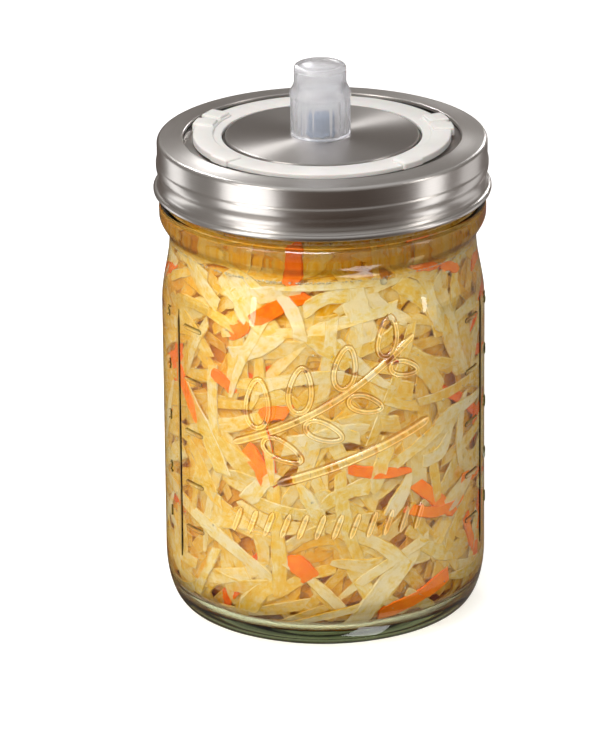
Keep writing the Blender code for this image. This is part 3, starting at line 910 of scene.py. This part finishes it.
class Heap:
    """Collects strips into one mesh, and keeps their depth behind the glass and their fibre marks."""

    def __init__(self, dice):
        self.dice = dice
        self.verts = []
        self.faces = []
        self.shade_depths = []
        self.strands = []
        self.count = 0

    def add(self, length, width, thickness, depth, place, roll=None, dive=None):
        d = self.dice
        bend = d.gauss(0, 0.06) * length
        roll = (d.gauss(0, 0.08), d.gauss(0, 0.10)) if roll is None else roll
        dive = (depth, d.gauss(0, 0.25) * MM, abs(d.gauss(0, 0.3)) * MM) if dive is None else dive
        dive = (*dive, d.uniform(0.18, 0.55) * MM)
        taper = d.choice((0.0, 0.0, 0.4, 0.9, -0.9))
        ends = (taper, d.uniform(-0.8, 0.8), d.uniform(0, math.tau))
        wave = d.gauss(0, 0.35) * MM
        verts, faces, marks = strip(length, width, thickness, bend, wave, dive, roll, ends, place)
        start = len(self.verts)
        self.verts += verts
        self.faces += [tuple(start + i for i in face) for face in faces]
        # How deep the strip lies, for its painted shade in the material
        self.shade_depths += [min(max(depth / DEEPEST_SHADE_DEPTH, 0.0), 1.0)] * len(verts)
        self.strands += [(across, along, 0.01 * self.count) for across, along in marks]
        self.count += 1

    def build(self, name, material):
        obj = add_mesh(name, self.verts, self.faces, material, 32.0)
        keep_marks(obj.data, self.shade_depths, self.strands)
        return obj


def keep_marks(mesh, shade_depths, strands):
    """Keeps each point's depth in the heap, which the material turns into painted shade, and its place
    along the fibres on the mesh, for the material.
    """
    depth = mesh.attributes.new("depth", "FLOAT", "POINT")
    depth.data.foreach_set("value", np.array(shade_depths, np.float32))
    strand = mesh.attributes.new("strand", "FLOAT_VECTOR", "POINT")
    strand.data.foreach_set("vector", np.array(strands, np.float32).ravel())


def add_front(heap, strips, thickness, depth, behind, swing, bow, roll):
    """The strips that lie foremost at the front, each in its own place."""
    for angle, z, tilt, length, width in strips:
        place = wall_place(math.radians(angle), z * MM, math.radians(tilt))
        dive = (behind, heap.dice.uniform(-swing, swing), bow)
        heap.add(length * MM, width * MM, thickness, depth, place, roll=roll, dive=dive)


def add_layers(dice, cabbage, carrot):
    """Strips at random all over the wall, one layer behind another."""
    for count, depth in LAYERS:
        for i in range(count):
            t = (i + dice.uniform(-0.4, 0.4)) / count
            z = (9.0 + 110.0 * min(max(t, 0.0), 1.0)) * MM
            angle = i * GOLDEN_TURN + dice.uniform(-0.3, 0.3)
            tilt = dice.gauss(0.35, 0.75) if dice.random() < 0.5 else dice.uniform(-1.6, 1.6)
            own = depth + dice.uniform(-0.4, 0.4) * MM
            length = dice.triangular(13, 36, 20) * MM
            width = dice.triangular(2.2, 6.4, 3.6) * MM
            place = wall_place(angle, z, tilt)
            away = 1.2 < abs((angle + math.pi) % math.tau - math.pi)
            share = BACK_CARROT_SHARE if away else FRONT_CARROT_SHARE
            target = carrot if dice.random() < share else cabbage
            target.add(length, width, dice.uniform(0.45, 0.75) * MM, own, place)


def add_top(dice, cabbage, carrot):
    """Strips that lie flat on the top, under the lid."""
    for _ in range(TOP_SHREDS):
        reach = 30.0 * MM * math.sqrt(dice.random())
        turn = dice.uniform(0, math.tau)
        place = top_place(reach * math.cos(turn), reach * math.sin(turn), dice.uniform(0, math.pi))
        target = carrot if dice.random() < TOP_CARROT_SHARE else cabbage
        length, width = dice.uniform(10, 20) * MM, dice.uniform(2.5, 5) * MM
        target.add(length, width, 1.0 * MM, dice.uniform(0, 1.0) * MM, place)


def build_vegetables():
    dice = random.Random(SHRED_SEED)
    cabbage, carrot = Heap(dice), Heap(dice)
    add_front(carrot, FRONT_CARROTS, 1.2 * MM, 0.9 * MM, 0.95 * MM, 0.3 * MM, 0.5 * MM, (0.05, 0.1))
    add_front(cabbage, FRONT_CABBAGES, 0.9 * MM, 0.0, 0.75 * MM, 0.2 * MM, 0.4 * MM, (0.0, 0.08))
    add_layers(dice, cabbage, carrot)
    add_top(dice, cabbage, carrot)
    pale, gold, orange = (0.98, 0.90, 0.68), (0.95, 0.78, 0.40), (1.0, 0.45, 0.05)
    cabbage_look = shred_material("cabbage", CABBAGE_STOPS, 0.15, 0.32, 0.75, pale)
    carrot_look = shred_material("carrot", CARROT_STOPS, 0.25, 0.05, 0.5, orange)
    cabbage_obj = cabbage.build("cabbage_shreds", cabbage_look)
    carrot_obj = carrot.build("carrot_shreds", carrot_look)
    core = build_core(shred_material("packed_cabbage", CABBAGE_STOPS, 0.3, 0.0, 0.0, gold))
    for piece in (cabbage_obj, carrot_obj, core):
        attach(piece, "root")
    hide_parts("shredded_vegetables")


def build_core(material):
    """The lumpy mass behind the shreds that show."""
    heel_r = INNER_HEEL_R - CORE_BEHIND * 0.8
    profile = [
        (0.0, FLOOR_Z + 1.2 * MM),
        *arc(BODY_R - WALL - INNER_HEEL_R, FLOOR_Z + INNER_HEEL_R, heel_r, -90, 0, 8),
    ]
    steps = 44
    low = FLOOR_Z + INNER_HEEL_R
    for i in range(1, steps + 1):
        z = low + (FILL_TOP_Z - 1.0 * MM - low) * i / steps
        profile.append((wall_radius(z) - CORE_BEHIND, z))
    profile += [(30.0 * MM, FILL_TOP_Z - 0.4 * MM), (15.0 * MM, FILL_TOP_Z - 0.2 * MM), (0.0, FILL_TOP_Z)]
    core = lathe("packed_core", profile, 120, material)
    for vert in core.data.vertices:
        x, y, z = vert.co
        turn = math.atan2(y, x)
        coarse = math.sin(9 * turn + 210 * z) + math.sin(14 * turn - 330 * z + 2)
        grow = 1 + 0.006 * (coarse + math.sin(23 * turn + 500 * z))
        vert.co = (x * grow, y * grow, z)
    places = [tuple(vert.co) for vert in core.data.vertices]
    # The whole core takes the deepest colour of the ramp: painted shade of the heap's inside
    keep_marks(core.data, [1.0] * len(places), places)
    return core


def build_bubbles():
    """A thin line of tiny bubbles under the shoulder, a larger one, and some among the shreds."""
    dice = random.Random(BUBBLE_SEED)
    spots = []
    for i in range(LINE_BUBBLES):
        turn = math.tau * i / LINE_BUBBLES + dice.uniform(-0.006, 0.006)
        if dice.random() < 0.85:
            z = BUBBLE_LINE_Z + 0.5 * MM * math.sin(3 * turn) + dice.uniform(-0.12, 0.12) * MM
            spots.append((turn, z, dice.uniform(0.2, 0.42) * MM))
    spots.append((math.radians(24.0), 104.6 * MM, 1.1 * MM))
    for _ in range(STRAY_BUBBLES):
        spots.append((dice.uniform(0, math.tau), dice.uniform(14, 100) * MM, dice.uniform(0.18, 0.42) * MM))
    bm = bmesh.new()
    bmesh.ops.create_uvsphere(bm, u_segments=12, v_segments=8, radius=1.0)
    sphere = [vert.co.copy() for vert in bm.verts]
    sphere_faces = [[vert.index for vert in face.verts] for face in bm.faces]
    bm.free()
    verts, faces = [], []
    for turn, z, size in spots:
        reach = wall_radius(z) - size - 0.05 * MM
        centre = Vector((reach * math.sin(turn), -reach * math.cos(turn), z))
        faces += [[len(verts) + i for i in face] for face in sphere_faces]
        verts += [centre + point * size for point in sphere]
    obj = add_mesh("bubbles", verts, faces, bubble_material(), 60.0)
    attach(obj, "root")


# Lid


def build_band():
    t = BAND_SHEET
    curl_z, curl = BAND_CURL_Z, BAND_CURL
    profile = [
        *arc(BAND_HOLE_R + 0.35 * MM, BAND_LIP_Z - 0.35 * MM, 0.35 * MM, 180, 80, 5),
        (BAND_HOLE_R + 1.6 * MM, BAND_LIP_Z - 0.25 * MM),
        (BAND_R - 1.4 * MM, BAND_TOP_Z),
        *arc(BAND_R - 1.1 * MM, BAND_TOP_Z - 1.1 * MM, 1.1 * MM, 84, 0, 7),
        (BAND_R, 128.5 * MM),
        *ease((BAND_R, 128.2 * MM), (BAND_RIDGE_R, 127.4 * MM), 4),
        (BAND_RIDGE_R, 126.2 * MM),
        *ease((45.02 * MM, 125.9 * MM), (44.15 * MM, 123.6 * MM), 7),
        (BAND_GROOVE_R, 123.2 * MM),
        *ease((44.12 * MM, 122.9 * MM), (44.5 * MM, 121.3 * MM), 5),
        *arc(BAND_CURL_R, curl_z, curl, 95, -90, 9),
        (44.3 * MM, curl_z - curl),
        (44.0 * MM, 121.4 * MM),
        (43.6 * MM, 123.4 * MM),
        (BAND_INSIDE_R, 126.0 * MM),
        (BAND_INSIDE_R, BAND_TOP_Z - 1.2 * MM),
        (44.0 * MM, BAND_TOP_Z - t),
        (BAND_HOLE_R + t, BAND_LIP_Z - t),
        (BAND_HOLE_R + t, BAND_LIP_Z - 0.9 * MM),
        (BAND_HOLE_R, BAND_LIP_Z - 0.9 * MM),
    ]
    steel = steel_material("band_steel", (0.66, 0.635, 0.61), 0.32, 0.7)
    band = lathe("steel_band", profile, 256, steel, 40.0)
    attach(band, "root")
    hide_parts("screw_band")


def build_plate():
    t = 0.5 * MM
    inner_r = PLATE_CENTRE_R - t
    profile = [
        (0.0, PLATE_TOP_Z),
        (12.0 * MM, PLATE_TOP_Z),
        (PLATE_CENTRE_R - 0.8 * MM, PLATE_TOP_Z),
        *arc(PLATE_CENTRE_R - 0.5 * MM, PLATE_TOP_Z - 0.5 * MM, 0.5 * MM, 80, 0, 4),
        (PLATE_CENTRE_R, PLATE_FLANGE_Z + 0.3 * MM),
        (PLATE_CENTRE_R + 0.3 * MM, PLATE_FLANGE_Z),
        (PLATE_RIM_R, PLATE_FLANGE_Z),
        (PLATE_RIM_R, PLATE_FLANGE_Z - t),
        (inner_r, PLATE_FLANGE_Z - t),
        (inner_r, PLATE_TOP_Z - t),
        (0.0, PLATE_TOP_Z - t),
    ]
    steel = steel_material("plate_steel", (0.53, 0.505, 0.485), 0.35, 0.85)
    plate = lathe("steel_plate", profile, 224, steel, 40.0)
    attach(plate, "root")
    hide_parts("lid_plate")


def ring_block(collection, angles, in_r, out_r, top_z):
    """A raised piece of the ring between two angles: a bar with rounded edges, bent round."""
    low_z = RING_LOW_Z + 0.3 * MM
    start, end = min(angles), max(angles)
    length = (end - start) * out_r
    bm = bmesh.new()
    bmesh.ops.create_cube(bm, size=1.0)
    bar = Matrix.Diagonal((length, out_r - in_r, top_z - low_z, 1.0))
    bmesh.ops.transform(bm, matrix=bar, verts=bm.verts)
    rim = [e for e in bm.edges if max(v.co.z for v in e.verts) > 0]
    bmesh.ops.bevel(bm, geom=rim, offset=BLOCK_EDGE, segments=4, profile=0.5, affect="EDGES")
    along = [e for e in bm.edges if abs(e.verts[0].co.x - e.verts[1].co.x) > length / 2]
    bmesh.ops.subdivide_edges(bm, edges=along, cuts=max(2, round((end - start) / math.radians(2.5))))
    for vert in bm.verts:
        angle = (start + end) / 2 + vert.co.x / out_r
        radius = (in_r + out_r) / 2 - vert.co.y
        vert.co = (radius * math.sin(angle), -radius * math.cos(angle), (top_z + low_z) / 2 + vert.co.z)
    add_operand(collection, "ring_block", bm)


def build_ring():
    profile = rounded(
        [
            (RING_IN_R, RING_TOP_Z),
            (RING_OUT_R, RING_TOP_Z),
            (RING_OUT_R, RING_LOW_Z),
            (RING_IN_R, RING_LOW_Z),
        ],
        0.4 * MM,
    )
    ring = lathe("white_ring", profile, 200, white_plastic_material(), 40.0)
    blocks = new_collection("ring_blocks")
    for side in (-1, 1):
        shapes = [
            ((43.5, 97.0), PAD_IN_R, PAD_OUT_R, PAD_TOP_Z),
            ((42.5, 54.0), PAD_IN_R + 0.2 * MM, 35.4 * MM, PAD_TOP_Z - 0.1 * MM),
            ((96.0, 119.5), PAD_IN_R + 0.1 * MM, PAD_OUT_R + 0.15 * MM, PAD_TOP_Z - 0.15 * MM),
            ((96.0, 105.5), 30.0 * MM, GRIP_R, GRIP_TOP_Z),
            ((109.0, 119.0), 30.0 * MM, GRIP_R, GRIP_TOP_Z),
        ]
        for angles, in_r, out_r, top_z in shapes:
            turned = [RING_TURN + side * math.radians(a) for a in angles]
            ring_block(blocks, turned, in_r, out_r, top_z)
    union(ring, blocks, 32.0)
    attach(ring, "root")
    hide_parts("lid_ring")


def build_cap():
    w = CAP_WALL
    profile = [
        (0.0, CAP_TOP_Z - 0.25 * MM),
        (0.5 * MM, CAP_TOP_Z - 0.2 * MM),
        (1.0 * MM, CAP_TOP_Z - 0.35 * MM),
        (4.2 * MM, CAP_TOP_Z - 0.35 * MM),
        *ease((4.9 * MM, CAP_TOP_Z - 0.25 * MM), (5.6 * MM, CAP_TOP_Z - 0.02 * MM), 3),
        *arc(CAP_NECK_R - 1.1 * MM, CAP_TOP_Z - 1.1 * MM, 1.1 * MM, 80, 0, 7),
        *ease((CAP_NECK_R, CAP_NECK_Z + 0.4 * MM), (CAP_LEDGE_R, CAP_LEDGE_Z + 0.5 * MM), 9),
        *arc(CAP_LEDGE_R - 0.25 * MM, CAP_LEDGE_Z, 0.25 * MM, 30, -70, 4),
        (CAP_PANEL_R, CAP_LEDGE_Z - 0.4 * MM),
        (CAP_PANEL_R, CAP_LEDGE_Z - 0.8 * MM),
        (CAP_PANEL_R, CAP_LEDGE_Z - 4.0 * MM),
        (CAP_PANEL_R, CAP_LOW_Z + 4.0 * MM),
        (CAP_PANEL_R, CAP_LOW_Z + 1.3 * MM),
        (CAP_PANEL_R, CAP_LOW_Z + 0.8 * MM),
        *arc(CAP_PANEL_R, CAP_LOW_Z + 0.35 * MM, 0.35 * MM, 80, -80, 6),
        (CAP_PANEL_R - w, CAP_LOW_Z),
        (CAP_PANEL_R - w, CAP_LEDGE_Z - 0.4 * MM),
        (CAP_NECK_R - w, CAP_NECK_Z),
        (CAP_NECK_R - w, CAP_TOP_Z - w - 0.6 * MM),
        (CAP_NECK_R - w - 0.6 * MM, CAP_TOP_Z - w - 0.3 * MM),
        (0.0, CAP_TOP_Z - w - 0.3 * MM),
    ]
    cap = lathe("ribbed_cap", profile, RIBS * 14, frosted_material(), 50.0)
    low, high = CAP_LOW_Z + 0.9 * MM, CAP_LEDGE_Z - 0.4 * MM
    for vert in cap.data.vertices:
        x, y, z = vert.co
        if low < z < high and math.hypot(x, y) > CAP_PANEL_R - 0.3 * MM:
            turn = (math.atan2(x, -y) - RIB_TURN) / (math.tau / RIBS)
            off = abs(turn - round(turn)) * math.tau * CAP_PANEL_R / RIBS
            rise = math.cos(min(off / (0.62 * MM), 1.0) * math.pi / 2)
            grow = 1 + 0.38 * MM / CAP_PANEL_R * max(0.0, rise)
            vert.co = (x * grow, y * grow, z)
    cap.location.x = CAP_X
    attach(cap, "root")
    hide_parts("airlock_cap")


def build_stem():
    low = PLATE_TOP_Z + 0.1 * MM
    profile = [
        (0.0, STEM_TOP_Z),
        (0.9 * MM, STEM_TOP_Z),
        (1.2 * MM, STEM_TOP_Z - 0.5 * MM),
        *arc(STEM_R - 1.0 * MM, STEM_TOP_Z - 1.5 * MM, 1.0 * MM, 85, 0, 5),
        (STEM_R, low + 1.2 * MM),
        *arc(STEM_R + 0.2 * MM, low + 0.6 * MM, 0.6 * MM, 90, -90, 5),
        (0.0, low),
    ]
    stem = lathe("grey_blue_stem", profile, 64, stem_material(), 35.0)
    stem.location.x = CAP_X
    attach(stem, "root")
    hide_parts("airlock_stem")


# Stage


def add_floor():
    bm = bmesh.new()
    bmesh.ops.create_grid(bm, x_segments=8, y_segments=8, size=3.0)
    mesh = bpy.data.meshes.new("floor")
    bm.to_mesh(mesh)
    bm.free()
    mesh.materials.append(floor_material())
    floor = bpy.data.objects.new("floor", mesh)
    bpy.context.scene.collection.objects.link(floor)
    floor.visible_glossy = False
    floor.visible_diffuse = False
    floor.visible_shadow = False


def add_light(name, place, size, power, colour=(1.0, 1.0, 1.0), shows=True):
    """An area lamp. One that doesn't show lights the jar without a reflection of its own."""
    light = bpy.data.lights.new(name, "AREA")
    light.shape = "RECTANGLE"
    light.size, light.size_y = size
    light.energy = power
    light.color = colour
    obj = bpy.data.objects.new(name, light)
    obj.location = place
    aim = Vector(LAMP_TARGET) - Vector(place)
    obj.rotation_euler = aim.to_track_quat("-Z", "Y").to_euler()
    obj.visible_glossy = shows
    bpy.context.scene.collection.objects.link(obj)


def add_lamps_for(names, lamps):
    """Lamps for these pieces alone: (name, degrees from the front, distance, z, size, power)."""
    only = bpy.data.collections.new("lit_" + names[0])
    for name in names:
        only.objects.link(bpy.data.objects[name])
    for name, turn, distance, z, size, power in lamps:
        angle = math.radians(turn)
        place = (distance * math.sin(angle), -distance * math.cos(angle), z)
        add_light(name, place, size, power)
        bpy.data.objects[name].light_linking.receiver_collection = only
        bpy.data.objects[name].visible_transmission = False


def add_world():
    """A studio seen in the steel: bright walls to the left and right, a dark front, a soft ceiling."""
    world = bpy.data.worlds.new("studio")
    world.use_nodes = True
    n = NodeTree(world.node_tree)
    x, y, z = n.split(n.add("TexCoord").outputs["Generated"])
    turn = n.math("ARCTAN2", x, n.math("MULTIPLY", y, -1.0))
    round_about = n.math("ADD", n.math("DIVIDE", turn, math.tau), 0.5)
    rise = n.add("Clamp")
    n.link(n.math("MULTIPLY", n.math("ADD", z, -0.05), 4.0), rise.inputs["Value"])
    studio = n.mix(rise.outputs["Result"], n.ramp(round_about, WALL_STOPS), n.ramp(z, CEILING_STOPS))
    background = n.tree.nodes["Background"]
    n.link(studio, background.inputs["Color"])
    background.inputs["Strength"].default_value = WORLD_STRENGTH
    bpy.context.scene.world = world


def add_camera():
    camera = bpy.data.cameras.new("camera")
    camera.lens = CAMERA_LENS
    camera.sensor_width = 36.0
    camera.clip_start = 0.05
    obj = bpy.data.objects.new("camera", camera)
    look = Matrix.Rotation(math.pi / 2 - CAMERA_PITCH, 4, "X") @ Matrix.Rotation(CAMERA_ROLL, 4, "Z")
    obj.matrix_world = Matrix.Translation(CAMERA_PLACE) @ look
    bpy.context.scene.collection.objects.link(obj)
    bpy.context.scene.camera = obj


def build_stage():
    add_camera()
    add_floor()
    add_world()
    warm = (1.0, 0.97, 0.93)
    add_light("top_softbox", (0.1, 0.1, 1.2), (0.8, 0.8), 2.2, shows=False)
    add_light("front_softbox", (-0.15, -0.36, 0.45), (0.30, 0.30), 1.1, warm, shows=False)
    add_light("key_softbox", (-0.52, -0.44, 0.52), (0.30, 0.38), 1.9, warm)
    add_light("right_softbox", (0.74, -0.22, 0.45), (0.20, 0.40), 0.8, warm)
    add_light("back_left", (-0.24, 0.75, 0.74), (0.10, 0.10), 1.4)
    scene = bpy.context.scene
    scene.view_settings.view_transform = "Standard"
    scene.cycles.adaptive_threshold = 0.05
    scene.cycles.max_bounces = 12
    scene.cycles.diffuse_bounces = 3
    scene.cycles.transmission_bounces = 12
    scene.cycles.transparent_max_bounces = 14


def light_pieces():
    """Lamps for the steel, for the contents behind the glass, and for glints on the glass."""
    steel_walls = [
        ("left_wall", -52, 0.8, -0.15, (0.58, 0.55), 2.1),
        ("left_back_wall", -120, 0.8, -0.15, (0.32, 0.55), 0.75),
        ("right_wall", 80, 0.8, -0.15, (0.28, 0.55), 0.85),
        ("right_back_wall", 122, 0.8, -0.15, (0.40, 0.55), 0.45),
    ]
    contents = [
        ("contents_softbox", -34, 0.60, 0.42, (0.30, 0.30), 1.8),
        ("contents_left", -90, 0.60, 0.25, (0.20, 0.30), 0.45),
        ("contents_right", 78, 0.60, 0.30, (0.20, 0.30), 0.25),
        ("contents_back_left", -142, 0.60, 0.42, (0.30, 0.30), 0.9),
        ("contents_back_right", 152, 0.60, 0.42, (0.30, 0.30), 1.2),
    ]
    glints = [
        ("relief_softbox", -12, 0.55, 0.62, (0.36, 0.30), 6.0),
        ("low_relief_softbox", 45, 0.26, -0.45, (0.18, 0.18), 0.45),
        ("left_glint", -50, 0.72, 0.09, (0.05, 0.08), 0.10),
        ("right_glint", 74, 0.72, 0.09, (0.05, 0.08), 0.10),
    ]
    add_lamps_for(["steel_band", "steel_plate"], steel_walls)
    add_lamps_for(["steel_band"], [("band_glint", 158, 0.8, 0.42, (0.12, 0.16), 0.7)])
    add_lamps_for(["cabbage_shreds", "carrot_shreds", "packed_core"], contents)
    add_lamps_for(["glass_jar"], glints)


def main():
    clear_scene()
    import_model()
    build_stage()
    build_glass()
    build_brine()
    build_vegetables()
    build_bubbles()
    build_band()
    build_plate()
    build_ring()
    build_cap()
    build_stem()
    light_pieces()


main()
